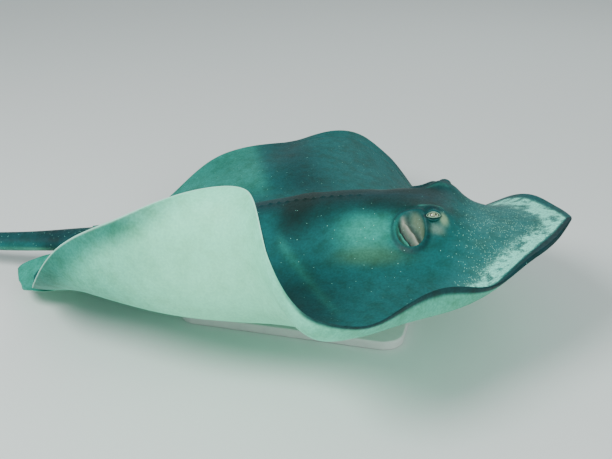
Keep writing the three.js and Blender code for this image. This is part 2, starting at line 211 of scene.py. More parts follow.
def top_detail(back, side, sign):
    """Spiracle, creases, fin rays, thorns and swellings on the back, in mm."""
    reach, across, along = spiracle(back, side)
    hole = 1 - smooth(reach, 0.74, 1.0)
    valve = 12 * bell(across, -0.05, 0.17) * (1 - 0.3 * smooth(along, 0.2, 0.9))
    folds = valve + 7 * bell(across, 0.42, 0.07) + 9 * bell(across, -0.85, 0.2) + 1.1 * np.sin(along * 9)
    depth = -hole * (20 - folds)
    rim = 2.6 * bell(reach, 1.1, 0.13) - 1.4 * bell(reach, 1.42, 0.15)
    free = inward(back, side)
    crease = -1.1 * bell(free, 0.034, 0.004) * smooth(back, 0.2, 0.3) * (1 - smooth(back, 0.5, 0.62))
    ray_angle = np.arctan2(side, 0.42 - back)
    rays = 0.1 * np.sin(ray_angle * 150) * smooth(side, 0.13, 0.2) * smooth(free, 0, 0.05)
    thorns = 0.0
    for i in range(BACK_THORNS["count"]):
        at = BACK_THORNS["first"] + BACK_THORNS["apart"] * i
        size = 2.6 if 0.36 < at < 0.5 else 1.7
        sway = 0.0012 * math.sin(i * 2.1)
        thorns = thorns + size * bell(back, at, 0.0036) * bell(side * sign, sway, 0.003)
    shoulder = 2.4 * bell(back, 0.43, 0.02) * bell(side, 0.05, 0.02)
    neck = -2.5 * bell(back, 0.3, 0.02) * bell(side, 0.055, 0.03)
    lobe = 2.4 * blob(back, side, (0.182, 0.068), (0.009, 0.01))
    return depth + rim + crease + rays + thorns + shoulder + neck + lobe


def bottom_depth(back, side):
    """How far the belly's skin is below the middle sheet, in mm, before its fine detail."""
    belly = DISC_WIDTH * through([0, 0.08, 0.16, 0.24, 0.36, 0.5, 0.65, 0.8, 0.87],
                                 [0, 0.006, 0.018, 0.028, 0.035, 0.033, 0.023, 0.01, 0.0], back)
    return 0.8 * fin_half(back, side) + belly * np.exp(-((side / 0.13) ** 3))


def bottom_detail(back, side):
    """How much further down mouth, nostrils, gill slits and vent bring the belly's skin, in mm."""
    middle = MOUTH["back"] + MOUTH["arch"] * (side / MOUTH["half"]) ** 2 - 0.004 * bell(side, 0, 0.012)
    wide = 1 - smooth(side, MOUTH["half"] * 0.86, MOUTH["half"])
    mouth = -9 * bell(back, middle, 0.0032) * wide
    lips = 3.2 * (bell(back, middle - 0.0085, 0.004) + bell(back, middle + 0.0095, 0.005)) * wide
    corner = -3 * bell(back, middle + 0.004, 0.007) * bell(side, MOUTH["half"] * 1.1, 0.005)
    curtain_edge = 0.188 + 0.006 * np.cos(side / 0.03 * math.pi)
    curtain = 1.8 * smooth(back, 0.15, 0.186) * (1 - smooth(back, curtain_edge, curtain_edge + 0.003))
    curtain = curtain * (1 - smooth(side, 0.034, 0.044))
    d = line_distance(back, side, NOSTRIL)
    nostril = -5.5 * bell(d, 0, 0.0035) + 1.3 * bell(d, 0.008, 0.003)
    gills = 0.0
    for slit in GILLS:
        d = line_distance(back, side, slit)
        gills = gills - 3.6 * bell(d, 0, 0.0021) + 1.3 * bell(d, 0.0062, 0.003)
    d = line_distance(back, side, VENT)
    vent = -3 * bell(d, 0, 0.002) + 1.2 * bell(d, 0.006, 0.003)
    return mouth + lips + corner + curtain + nostril + gills + vent


# ---- the pose: rest places to places in space, mm ----
def fin_bend(fin, back, side):
    """How far out and up a place is carried by its fin's bends, in mm."""
    width = half_width(back)
    root = np.radians(through(ROOT_BEND_AT, fin["root"], back))
    tip = np.radians(through(TIP_BEND_AT, fin["tip"], back))
    rim = np.radians(through(RIM_BEND_AT, fin["rim"], back)) * smooth(width, 0, 0.12)
    curl = math.radians(fin["curl"])
    out, up = np.zeros_like(side), np.zeros_like(side)
    for i in range(BEND_SLICES):
        at = side * (i + 0.5) / BEND_SLICES
        angle = (root * smooth(at, *fin["root_span"]) + tip * smooth(at, *fin["tip_span"])
                 + curl * smooth(at, *fin["curl_span"]) + rim * smooth(at, width - RIM_WIDTH, width))
        out += np.cos(angle) / BEND_SLICES
        up += np.sin(angle) / BEND_SLICES
    return out * side * DISC_WIDTH, up * side * DISC_WIDTH


def sheet(back, side):
    """The disc's middle sheet in the body's own frame. side is positive to the left."""
    span = np.abs(side)
    right, left = fin_bend(RIGHT_FIN, back, span), fin_bend(LEFT_FIN, back, span)
    out = np.where(side < 0, -right[0], left[0])
    up = np.where(side < 0, right[1], left[1])
    up = up + SNOUT_LIFT * np.clip(1 - back / 0.2, 0, None) ** 2
    up = up + REAR_LIFT * np.clip((back - 0.5) / 0.37, 0, None) ** 2
    up = up - CORNER_DROOP * smooth(back, 0.7, 0.87) * smooth(span, 0.03, 0.13)
    return np.stack([(WIDEST - back) * DISC_WIDTH, out, up], -1)


def sheet_frame(back, side):
    """Place, forward, left and up on the sheet, for arrays of places."""
    small = 0.0006
    at = sheet(back, side)
    forward = unit(sheet(back - small, side) - sheet(back + small, side))
    across = sheet(back, side + small) - sheet(back, side - small)
    up = unit(np.cross(forward, across))
    return at, forward, np.cross(up, forward), up


TILT = math.radians(NOSE_UP)
CARRY = np.array([[math.cos(TILT), 0, -math.sin(TILT)],
                  [0, 1, 0],
                  [math.sin(TILT), 0, math.cos(TILT)]])


def carried(points):
    """From the body's own frame to the frame that the CAD uses, in mm."""
    return points @ CARRY.T + np.array([0, 0, BODY_HEIGHT])


def spot(back, side, height):
    """One place at a height over the sheet, with its forward, left and up, carried."""
    at, forward, left, up = sheet_frame(np.array([float(back)]), np.array([float(side)]))
    turned = [v[0] @ CARRY.T for v in (forward, left, up)]
    return carried(at + up * height)[0], *turned


# ---- the tail's middle line ----
def tail_line():
    """The tail's middle line: lengths along it, places, and forward, left and up at each."""
    points, frames = [], []
    lead = np.arange(TAIL_LEAD, 0, TAIL_STEP)
    at, forward, left, up = sheet_frame(TRUNK_END + lead / DISC_WIDTH, np.zeros_like(lead))
    for i in range(len(lead)):
        points.append(at[i])
        frames.append((forward[i], left[i], up[i]))
    here = sheet(np.array([TRUNK_END]), np.array([0.0]))[0]
    steps = np.arange(0, TAIL_LENGTH + 1, TAIL_STEP)
    for along in steps:
        slope = math.radians(float(through(TAIL_AT, TAIL_SLOPE, np.array(along))))
        swing = math.radians(float(through(TAIL_AT, TAIL_SWING, np.array(along))))
        way = np.array([-math.cos(slope) * math.cos(swing), math.sin(swing),
                        math.sin(slope) * math.cos(swing)])
        forward = -way
        left = unit(np.cross([0, 0, 1.0], forward))
        points.append(here.copy())
        frames.append((forward, left, np.cross(forward, left)))
        here = here + way * TAIL_STEP
    return np.r_[lead, steps], np.array(points), np.array(frames)


TAIL = tail_line()


def tail_frame(along):
    """Centre, left and up of the tail at lengths along it."""
    at, points, frames = TAIL
    return [np.stack([np.interp(along, at, line[:, k]) for k in range(3)], -1)
            for line in (points, frames[:, 1], frames[:, 2])]


def tail_places(along, around):
    """Places on the tail's surface; around runs from 0 to 2 pi from its left side over the top."""
    centre, left, up = tail_frame(along)
    sunk = 1 - 0.16 * (1 - smooth(along, TAIL_SUNK, 0))
    wide = sunk * through(TAIL_SIZE_AT, TAIL_HALF_WIDE, along)
    high = sunk * through(TAIL_SIZE_AT, TAIL_HALF_HIGH, along)
    y, z = np.cos(around), np.sin(around)
    fold = 13 * smooth(along, 330, 400) * (1 - smooth(along, 620, 740)) * bell(y, 0, 0.13) * (z < 0)
    ridge = 3 * smooth(along, 430, 470) * (1 - smooth(along, 640, 760)) * bell(y, 0, 0.14) * (z > 0)
    thorns = 0.0
    for i in range(TAIL_THORNS["count"]):
        at = TAIL_THORNS["first"] + TAIL_THORNS["apart"] * i
        thorns = thorns + 1.6 * bell(along, at, 3.2) * bell(y, 0, 0.1) * (z > 0)
    high_here = z * high + ridge + thorns - fold
    return centre + left * (y * wide)[..., None] + up * high_here[..., None]


# ---- meshes ----
def grid_quads(rows, columns, start=0, wrap=False, flip=False):
    """Faces of a grid of points that are numbered row by row from start."""
    r, c = np.meshgrid(np.arange(rows - 1), np.arange(columns if wrap else columns - 1), indexing="ij")
    a, b = start + r * columns + c, start + r * columns + (c + 1) % columns
    quads = np.stack([a, b, b + columns, a + columns], -1).reshape(-1, 4)
    return quads[:, ::-1] if flip else quads


def capped_quads(rows, columns):
    """Faces of a tube made of rows of closed rings, with a flat cap on each end."""
    first, last = [[[start + i, start + i + 1, start + columns - 2 - i, start + columns - 1 - i]
                    for i in range(columns // 2 - 1)] for start in (0, (rows - 1) * columns)]
    return np.concatenate([grid_quads(rows, columns, wrap=True), np.array(first)[:, ::-1], last])


FAN_START, FAN_DEPTH = 0.72, 0.077
COARSE_ROW, FINE_ROW, MARGIN_ROW = 0.0027, 0.0011, 0.0022
INNER_ROWS = 46
INNER_COLUMN, OUTER_COLUMN = 0.0036, 0.0068
EDGE_COLUMNS = [0.985, 0.99, 0.994, 0.9975, 0.9993, 1.0]


def disc_grid():
    """Rest places of the disc's rows and columns.

    The rows run straight across as far back as FAN_START, closest together at the eyes and spiracles. From
    there they fan out and turn back round the fins' rear corners, as curves through a point on the middle
    line and one on the margin, pulled by a control point. The columns lie closest along the margin."""
    scale = 1.0
    backs, b = [], 0.0012
    while b < FAN_START:
        backs.append(b)
        fine = bell(b, 0.225, 0.075) ** 0.5
        b += scale * (COARSE_ROW * (1 - fine) + FINE_ROW * fine) * min(1, 0.25 + b / 0.03)
    near_corner = REAR_CORNER - 0.003
    outline = np.arange(FAN_START, near_corner, MARGIN_ROW * scale)
    corner = np.linspace(near_corner, TRUNK_END, int(INNER_ROWS / scale))
    margin = np.r_[np.stack([outline, half_width(outline)], -1),
                   np.stack([corner, np.minimum(fin_inner(corner), half_width(corner))], -1)]
    k = np.linspace(0, 1, len(margin))
    turn = len(outline) / len(margin)
    middle = np.stack([FAN_START + FAN_DEPTH * k**0.8, 0 * k], -1)
    bends_at = [0, turn, turn + 0.2, 1]
    control = np.stack([through(bends_at, [FAN_START, 0.782, 0.79, 0.798], k),
                        through(bends_at, [0.5 * margin[0, 1], 0.105, 0.07, 0.024], k)], -1)
    v, u = 0.0, []
    while v < EDGE_COLUMNS[0]:
        u.append(v)
        v += scale * (INNER_COLUMN if v < 0.37 else OUTER_COLUMN)
    u = np.r_[u, EDGE_COLUMNS]
    straight_back = np.repeat(np.array(backs)[:, None], len(u), 1)
    straight_side = half_width(straight_back) * u[None]
    shares = [share[None, :, None] for share in ((1 - u) ** 2, 2 * u * (1 - u), u**2)]
    fan = shares[0] * middle[:, None] + shares[1] * control[:, None] + shares[2] * margin[:, None]
    back = np.r_[straight_back, fan[1:, :, 0]]
    side = np.r_[straight_side, fan[1:, :, 1]]
    return np.c_[back[:, :0:-1], back], np.c_[-side[:, :0:-1], side]


# ---- the paint: linear colours worked out from rest places ----
def rgb(red, green, blue):
    """A screen colour, 0 to 255, as linear light."""
    v = np.array([red, green, blue]) / 255
    return np.where(v > 0.04045, ((v + 0.055) / 1.055) ** 2.4, v / 12.92)


SLATE, DEEP = rgb(6, 104, 104), rgb(2, 48, 56)
BROWN, OLIVE = rgb(6, 42, 40), rgb(78, 120, 72)
MIST, DUSK = rgb(62, 184, 160), rgb(22, 132, 116)
BELLY, BELLY_PAINTED_LIGHT, BELLY_RIM = rgb(128, 246, 206), rgb(158, 255, 212), rgb(190, 250, 226)
# painted shade, for the hollow outside the right fin's fold
SHADE = rgb(24, 72, 80)
HOLE, HOLE_SHADE_DARK, HOLE_SHADE_GREY = rgb(74, 116, 104), rgb(12, 30, 34), rgb(34, 64, 62)
VALVE, FRONT_LIP = rgb(160, 166, 150), rgb(134, 158, 130)
PALE_PATCH, DULL_PATCH = rgb(150, 182, 140), rgb(140, 170, 146)
GILL, MOUTH_LINE, NOSTRIL_LINE = rgb(92, 96, 88), rgb(96, 84, 78), rgb(110, 112, 106)
LID, LID_EDGE = rgb(160, 196, 170), rgb(20, 22, 20)
IRIS, IRIS_DARK, IRIS_RING = rgb(176, 196, 156), rgb(122, 132, 88), rgb(190, 214, 178)
IRIS_EDGE, PUPIL, EYE_BACK = rgb(44, 50, 40), rgb(8, 10, 10), rgb(14, 16, 14)


def flat(tint, shape):
    """One colour for every place."""
    return np.broadcast_to(tint, shape + (3,)).copy()


def paint(tone, tint, amount):
    return tone + (tint - tone) * np.clip(amount, 0, 1)[..., None]


def fold_side(back):
    """Where the right fin's upward fold starts, going back along the body."""
    return through([0.28, 0.352, 0.407, 0.453, 0.5], [0.322, 0.214, 0.144, 0.09, 0.03], back)


def back_tone(back, side, sign):
    """Colours of the back. sign is -1 on the right half and 1 on the left."""
    tone = flat(SLATE, back.shape)
    free = inward(back, side)
    # Along the middle, darker towards the tail. On the left the band is wider: painted shade on the
    # ridge's left slope and round the left eye.
    ridge = bell(side, 0, np.where(sign < 0, 0.034, 0.075)) * smooth(back, 0.15, 0.22)
    tone = paint(tone, DEEP, 0.85 * ridge * (1 - smooth(back, 0.6, 0.8)))
    tone = paint(tone, DEEP, 0.7 * (1 - smooth(side, 0.022, 0.042)) * smooth(back, 0.6, 0.78))
    # Pale and olive patches behind the spiracle, then the brown saddle and shoulder.
    tone = paint(tone, MIST, 0.62 * blob(back, side, (0.302, 0.086), (0.05, 0.036)))
    tone = paint(tone, OLIVE, 0.5 * blob(back, side, (0.292, 0.128), (0.056, 0.019)))
    tone = paint(tone, BROWN, blob(back, side, (0.43, 0.025), (0.036, 0.075)))
    tone = paint(tone, BROWN, 0.6 * blob(back, side, (0.39, 0.03), (0.05, 0.06)))
    tone = paint(tone, BROWN, 0.75 * blob(back, side, (0.26, 0.03), (0.085, 0.026)))
    # Painted shade in the hollow outside the right fin's fold, and a painted highlight along the fold's
    # crest.
    fold = fold_side(back)
    painted_fold_shade = (sign < 0) * smooth(side, fold, fold + 0.1) * smooth(back, 0.27, 0.33)
    tone = paint(tone, SHADE, 0.5 * painted_fold_shade * (1 - smooth(back, 0.48, 0.56)))
    painted_crest_highlight = bell(side - fold, -0.004, 0.012) * (sign < 0) * smooth(back, 0.29, 0.34)
    tone = paint(tone, MIST, 0.24 * painted_crest_highlight * (1 - smooth(back, 0.43, 0.46)))
    # Painted light on the left fin's rear part, with painted shade ahead of it.
    slanted = back - 0.42 * (side - 0.23)
    painted_rear_light = (sign > 0) * smooth(slanted, 0.55, 0.59) * smooth(side, 0.12, 0.22)
    tone = paint(tone, MIST, 0.42 * painted_rear_light)
    shade = bell(slanted, 0.5, 0.06) * (sign > 0) * smooth(side, 0.1, 0.2)
    tone = paint(tone, DEEP, 0.6 * shade)
    # Painted shade on the front rim, where the thick edge turns down, strongest on the right; a painted
    # highlight along the crest just inside it; and the light rear margin.
    rim = np.where(sign < 0, 0.9, 0.35) * (1 - smooth(free, 0.016, 0.028)) * (1 - smooth(back, 0.36, 0.42))
    tone = paint(tone, DEEP, rim)
    tone = paint(tone, MIST, 0.25 * bell(free, 0.031, 0.006) * (1 - smooth(back, 0.3, 0.36)))
    tone = paint(tone, MIST, 0.5 * (1 - smooth(free, 0.001, 0.004)) * smooth(back, 0.36, 0.42))
    return head_tone(tone, back, side, sign)


def head_tone(tone, back, side, sign):
    """Adds the spiracle's colours with painted shade beside its valve, the dark ring round it, a painted
    highlight streak on the brow, and pale patches by the eye.
    """
    reach, across, _ = spiracle(back, side)
    tone = paint(tone, DEEP, 0.6 * bell(reach, 1.22, 0.16))
    inside = 1 - smooth(reach, 0.8, 1.02)
    tone = paint(tone, HOLE, inside)
    # Painted shade in the spiracle's hollows on both sides of its valve.
    tone = paint(tone, HOLE_SHADE_DARK, inside * 0.9 * bell(across, 0.28, 0.12))
    tone = paint(tone, HOLE_SHADE_GREY, inside * 0.8 * bell(across, -0.36, 0.1))
    tone = paint(tone, VALVE, inside * bell(across, -0.07, 0.18))
    tone = paint(tone, MIST, inside * 0.8 * bell(across, 0.44, 0.06))
    tone = paint(tone, FRONT_LIP, inside * 0.85 * bell(across, -0.74, 0.2))
    tone = paint(tone, DEEP, 0.8 * blob(back, side, (0.204, 0.058), (0.017, 0.006)))
    # A painted highlight streak along the brow, stronger on the right.
    brow_highlight = bell(side, 0.0455 - 0.35 * np.maximum(back - 0.207, 0), 0.0032)
    brow_highlight = brow_highlight * np.where(sign < 0, 0.6, 0.15)
    tone = paint(tone, MIST, brow_highlight * smooth(back, 0.185, 0.195) * (1 - smooth(back, 0.222, 0.232)))
    tone = paint(tone, PALE_PATCH, 0.75 * blob(back, side, (0.184, 0.068), (0.0075, 0.008)))
    return paint(tone, DULL_PATCH, 0.5 * blob(back, side, (0.194, 0.082), (0.012, 0.0065)))


def belly_tone(back, side):
    """Colours of the underside: pale with a painted pool of light on each fin, dusky towards the rear and
    the margin, the front margin's dusk partly painted shade, and painted shade on the front rim.
    """
    tone = flat(BELLY, back.shape)
    free = half_width(back) - side
    wide = 0.05 + 0.05 * smooth(back, 0.6, 0.8)
    # A painted pool of light on each fin's underside.
    tone = paint(tone, BELLY_PAINTED_LIGHT, 0.7 * blob(back, side, (0.48, 0.36), (0.15, 0.15)))
    tone = paint(tone, MIST, 0.75 * smooth(back, 0.5, 0.8))
    tone = paint(tone, DUSK, 0.85 * (1 - smooth(free, 0.2 * wide, wide)) * smooth(back, 0.47, 0.6))
    # Dusky inside the front margin: partly the ray's own dusk, partly painted shade.
    tone = paint(tone, DUSK, 0.6 * (1 - smooth(free, 0.02, 0.1)) * (1 - smooth(back, 0.2, 0.38)))
    # Painted shade on the front rim, where the thick edge turns away from the light.
    rim = through([0, 0.12, 0.22, 0.34], [0.016, 0.009, 0.004, 0.001], back)
    tone = paint(tone, DEEP, 0.95 * (1 - smooth(free, rim, rim + 0.007)) * (1 - smooth(back, 0.3, 0.36)))
    tone = paint(tone, BELLY_RIM, 0.7 * (1 - smooth(free, 0.001, 0.0035)) * smooth(back, 0.34, 0.38))
    for slit in GILLS:
        tone = paint(tone, GILL, 0.85 * bell(line_distance(back, side, slit), 0, 0.0022))
    mouth = bell(back, MOUTH["back"] + MOUTH["arch"] * (side / MOUTH["half"]) ** 2, 0.004)
    tone = paint(tone, MOUTH_LINE, 0.9 * mouth * (1 - smooth(side, 0.036, 0.042)))
    return paint(tone, NOSTRIL_LINE, 0.8 * bell(line_distance(back, side, NOSTRIL), 0, 0.0035))


def sand_amount(back, side):
    """How thickly pale specks lie on the back: most inside the snout's front rim."""
    free = inward(back, side)
    snout = smooth(free, 0.018, 0.034) * (1 - smooth(back, 0.12, 0.19))
    snout = snout * (1 - 0.7 * smooth(side, 0.18, 0.25))
    return 0.006 + snout * (0.95 - 0.75 * smooth(free, 0.055, 0.14))


# ---- the skin ----
def eye_frame(sign):
    """An eye's centre in mm, the way it looks, and what is ahead of and above that, in the CAD's frame."""
    height = float(top_height(*EYE_AT)) - EYE_SUNK
    centre, forward, left, up = spot(EYE_AT[0], sign * EYE_AT[1], height)
    gaze = unit(sign * left * 0.72 + up * 0.62 + forward * 0.12)
    ahead = unit(forward - gaze * (forward @ gaze))
    above = np.cross(gaze, ahead)
    return centre, gaze, ahead, above * np.sign(above[2])


def ways(frame, polar, turn):
    """Directions at polar angles from an eye's gaze, turned round it from ahead towards above."""
    _, gaze, ahead, above = frame
    return np.cos(polar)[..., None] * gaze + np.sin(polar)[..., None] * (
        np.cos(turn)[..., None] * ahead + np.sin(turn)[..., None] * above)


LID_OPEN = {"wide": 50.0, "above": 15.0, "below": 17.0}  # degrees from the gaze
LID_WIDEST = math.radians(112)
MISSED = 60.0  # mm, for a ray that meets no skin


def lid_edge(turn):
    """Angle from the gaze to the lid's edge, for each way round it."""
    tall = np.where(np.sin(turn) > 0, LID_OPEN["above"], LID_OPEN["below"])
    return np.radians(1 / np.hypot(np.cos(turn) / LID_OPEN["wide"], np.sin(turn) / tall))


def lid_part(top, tone, sand, sign):
    """Fine skin round an eye, with its paint and sand. It sinks the disc's skin in top out of its way."""
    frame = eye_frame(sign)
    centre, gaze, ahead, above = frame
    d = np.linalg.norm(top - centre, axis=-1)
    rows, columns = np.nonzero(d < 4 * EYE_RADIUS)
    r0, r1, c0, c1 = rows.min(), rows.max() + 1, columns.min(), columns.max() + 1
    local, paints, grit = [v[r0:r1, c0:c1].reshape(-1, v.shape[-1] if v.ndim > 2 else 1)
                           for v in (top, tone, sand)]
    quads = grid_quads(r1 - r0, c1 - c0)
    tree = BVHTree.FromPolygons(local.tolist(), quads.tolist())

    def head_at(polar, turn):
        """How far the head's skin is from the eye's middle, its paint and its sand."""
        far, colours, grains = np.empty(polar.shape), np.empty(polar.shape + (3,)), np.empty(polar.shape)
        aims = ways(frame, polar, turn)
        for i in np.ndindex(polar.shape):
            hit, _, face, gone = tree.ray_cast(Vector(centre), Vector(aims[i]))
            if hit is None:
                far[i], colours[i], grains[i] = MISSED, 0, 0
                continue
            corners = quads[face]
            w = 1 / (np.linalg.norm(local[corners] - np.array(hit), axis=-1) + 0.05) ** 2
            w = w / w.sum()
            far[i], colours[i], grains[i] = gone, w @ paints[corners], w @ grit[corners, 0]
        return far, colours, grains

    around = 160
    turn = np.linspace(0, 2 * math.pi, around, endpoint=False)
    edge = lid_edge(turn)
    # The patch ends where the head's skin first gets clear of the eye, evened out all round.
    clear, probes = 1.75 * EYE_RADIUS, 40
    probe = np.linspace(0, 1, probes)[:, None] * (LID_WIDEST - edge) + edge
    reach, _, _ = head_at(probe, np.broadcast_to(turn, probe.shape))
    first = np.argmax(np.r_[reach > clear, np.ones((1, around), bool)], axis=0)
    last = edge + (LID_WIDEST - edge) * np.minimum(first, probes - 1) / (probes - 1)
    last = sum(np.roll(last, k) for k in range(-4, 5)) / 9
    steps = np.r_[-0.03, -0.015, np.linspace(0, 0.22, 16), np.linspace(0.24, 1, 30)][:, None]
    polar = edge + (last - edge) * steps
    turns = np.broadcast_to(turn, polar.shape)
    reach, colours, grains = head_at(polar, turns)
    out = (polar - edge) * EYE_RADIUS
    rolled = np.clip(out / 1.3, 0, 1)
    lid = EYE_RADIUS - 0.2 + 1.9 * np.sqrt(rolled * (2 - rolled))
    lid = lid - 1.0 * bell(out, 4.2, 1.1) - 0.8 * smooth(out, 5.5, 11)
    radius = smooth_max(lid, np.minimum(reach, 2 * EYE_RADIUS), 2.2)
    radius = radius - 0.7 * smooth(steps, 0.86, 1.0)
    radius[:2] = EYE_RADIUS - 1.0
    colours = paint(colours, LID, 0.85 * bell(out, 0.9, 0.8))
    colours = paint(colours, DEEP, 0.85 * bell(out, 3.6, 1.3))
    colours = paint(colours, LID_EDGE, 1 - smooth(out, -0.2, 0.3))

    # Under the patch the disc's skin is pushed in, and where the eye looks out it goes behind the eyeball.
    near = d < 1.8 * EYE_RADIUS
    aim = unit(top[near] - centre)
    angle = np.arccos(np.clip(aim @ gaze, -1, 1))
    inside = angle < 1.25 * lid_edge(np.arctan2(aim @ above, aim @ ahead))
    sink = d[near] - 1.6 * (1 - smooth(d[near], 1.35 * EYE_RADIUS, clear))
    top[near] = centre + aim * np.where(inside, np.minimum(sink, EYE_RADIUS - 2.5), sink)[:, None]
    faces = grid_quads(len(steps), around, wrap=True)
    if np.cross(ahead, above) @ gaze < 0:
        faces = faces[:, ::-1]
    return centre + ways(frame, polar, turns) * radius[..., None], faces, colours, grains


def drawn_out(height, back, side):
    """The disc's own thickness, drawn out to the tail's section where the tail leaves it."""
    along = np.minimum((back - TRUNK_END) * DISC_WIDTH, 0)
    wide, high = through(TAIL_SIZE_AT, TAIL_HALF_WIDE, along), through(TAIL_SIZE_AT, TAIL_HALF_HIGH, along)
    section = (high - 0.4) * np.sqrt(np.maximum(1 - (side * DISC_WIDTH / wide) ** 2, 0))
    near = smooth(along, -200, -60) * (1 - smooth(side, 0.05, 0.075))
    near = near * np.where(side > TRUNK_END_HALF, smooth(inward(back, side), 0, 0.01), 1)
    return height + near * (smooth_max(height, section, 12) - height)


def joined(parts):
    """Several grids of points with their faces, tones and sand, as one."""
    start, points, faces, tones, sands = 0, [], [], [], []
    for p, f, tone, sand in parts:
        points.append(p.reshape(-1, 3))
        faces.append(f + start)
        tones.append(tone.reshape(-1, 3))
        sands.append(sand.reshape(-1))
        start += len(points[-1])
    return [np.concatenate(v) for v in (points, faces, tones, sands)]


def shell_quads(rows, columns):
    """Faces of a closed shell made of a top grid and a bottom grid of the same places."""
    count = rows * columns
    quads = [grid_quads(rows, columns, flip=True), grid_quads(rows, columns, count)]
    edge, across = np.arange(rows) * columns, np.arange(columns)
    for line, turned in ((edge, True), (edge + columns - 1, False), (across, False),
                         (across + (rows - 1) * columns, True)):
        strip = np.stack([line[:-1], line[1:], line[1:] + count, line[:-1] + count], -1)
        quads.append(strip[:, ::-1] if turned else strip)
    return np.concatenate(quads)


def disc_parts():
    """The disc's skin, above and below, and the fine skin round the eyes."""
    back, side = disc_grid()
    span, sign = np.abs(side), np.sign(side)
    at, _, _, up = sheet_frame(back, side)
    above = drawn_out(top_height(back, span) + top_detail(back, span, sign), back, span)
    below = drawn_out(bottom_depth(back, span) + bottom_detail(back, span), back, span)
    top, low = carried(at + up * above[..., None]), carried(at - up * below[..., None])
    tone, sand = back_tone(back, span, sign), sand_amount(back, span)
    lids = [lid_part(top, tone, sand, eye) for eye in (-1, 1)]
    points = np.stack([top, low])
    tones = np.stack([tone, belly_tone(back, span)])
    return [(points, shell_quads(*back.shape), tones, np.stack([sand, 0 * sand])), *lids]


def tail_part():
    """The tail's skin: dark above, pale under its root, with a dark saddle across it."""
    lengths = np.r_[np.arange(TAIL_SUNK, 0, 4.0), np.arange(0, TAIL_LENGTH, 3.5), TAIL_LENGTH]
    along, turn = np.meshgrid(lengths, np.linspace(0, 2 * math.pi, 60, endpoint=False), indexing="ij")
    tone = flat(SLATE, along.shape)
    under = smooth(-np.sin(turn), 0.0, 0.5)
    tone = paint(tone, BELLY, 0.9 * under * (1 - smooth(along, 60, 420)))
    tone = paint(tone, DEEP, 0.7 * smooth(np.sin(turn), 0.1, 0.7))
    tone = paint(tone, DUSK, 0.7 * smooth(-np.sin(turn), -0.2, 0.4) * smooth(along, 150, 210))
    tone = paint(tone, DEEP, 0.75 * bell(along, 118, 34))
    tone = paint(tone, DEEP, 0.8 * smooth(along, 330, 420))
    return carried(tail_places(along, turn)), capped_quads(*along.shape), tone, 0.04 + 0 * along


# "reach" is the share of the lobe's full length where its tip is.
PELVIC = {"from": 0.785, "to": 0.97, "reach": 0.965, "width": 0.1, "half": 3.6, "droop": 56}


def pelvic_part(sign):
    """A lobe beside the tail's root, just under the fin's rear corner, with its front end in the belly."""
    v, t = np.meshgrid(np.linspace(0, 1, 70), np.linspace(0, 1, 34), indexing="ij")
    v, t = np.sin(0.5 * math.pi * v), 0.5 - 0.5 * np.cos(math.pi * t)
    u = PELVIC["reach"] * v
    back = PELVIC["from"] + (PELVIC["to"] - PELVIC["from"]) * u
    beside = through(TAIL_SIZE_AT, TAIL_HALF_WIDE, np.maximum(back - TRUNK_END, 0) * DISC_WIDTH)
    beside = np.maximum(beside + 3, 34) / DISC_WIDTH
    tip = np.maximum((v - 0.7) / 0.3, 0)
    inner = beside + 0.035 * np.maximum(u - 0.6, 0)
    inner = inner + 0.019 * (1 - np.sqrt(np.maximum(1 - tip**2, 0)))
    bulge = np.maximum(1 - np.abs(2 * u - 1) ** 2.2, 0.02) ** 0.6 * (1 - 0.15 * smooth(u, 0.5, 1.0))
    span = inner + (0.006 + beside + PELVIC["width"] * bulge - inner) * t
    edge = np.minimum.reduce([t, 1 - t, v, 1 - v])
    rounded = np.sqrt(np.maximum(1 - (1 - np.minimum(edge / 0.05, 1)) ** 2, 0))
    half = PELVIC["half"] * (1 - 0.62 * np.maximum(u, np.abs(2 * t - 0.7)) ** 2)
    sunk = 12 * (1 - smooth(u, 0.0, 0.34))
    under = bottom_depth(back, span) + 2 + half - sunk + PELVIC["droop"] * u**2
    at, _, _, up = sheet_frame(back, sign * span)
    ribs = 0.35 * np.sin(t * 60) * smooth(u, 0.25, 0.6)
    lift = rounded * np.maximum(half, 1.1)
    points = np.stack([carried(at + up * (lift + ribs - under)[..., None]),
                       carried(at + up * (-lift + ribs - under)[..., None])])
    tones = np.stack([paint(flat(SLATE, u.shape), MIST, 0.55 + 0.2 * smooth(u, 0.2, 0.7)),
                      paint(flat(BELLY, u.shape), DUSK, 0.7 * smooth(u, 0.7, 1))])
    quads = shell_quads(*u.shape)
    return points, quads if sign > 0 else quads[:, ::-1], tones, np.zeros((2,) + u.shape)


def object_from(name, points, quads, tones=None, sand=None):
    """A smooth-shaded mesh from places in mm, with its colours and its share of sand kept by point."""
    mesh = bpy.data.meshes.new(name)
    mesh.vertices.add(len(points))
    mesh.vertices.foreach_set("co", (points / 1000).astype(np.float32).ravel())
    mesh.loops.add(quads.size)
    mesh.loops.foreach_set("vertex_index", quads.astype(np.int32).ravel())
    mesh.polygons.add(len(quads))
    mesh.polygons.foreach_set("loop_start", np.arange(0, quads.size, 4, dtype=np.int32))
    mesh.update(calc_edges=True)
    mesh.polygons.foreach_set("use_smooth", np.ones(len(quads), bool))
    if tones is not None:
        layer = mesh.color_attributes.new("tone", "FLOAT_COLOR", "POINT")
        layer.data.foreach_set("color", np.c_[tones, np.ones(len(tones))].astype(np.float32).ravel())
    if sand is not None:
        layer = mesh.attributes.new("sand", "FLOAT", "POINT")
        layer.data.foreach_set("value", sand.astype(np.float32))
    made = bpy.data.objects.new(name, mesh)
    bpy.context.scene.collection.objects.link(made)
    return made


def flat_ends(piece):
    """Flat shading for the faces that lie level."""
    for face in piece.data.polygons:
        face.use_smooth = abs(face.normal.z) < 0.98


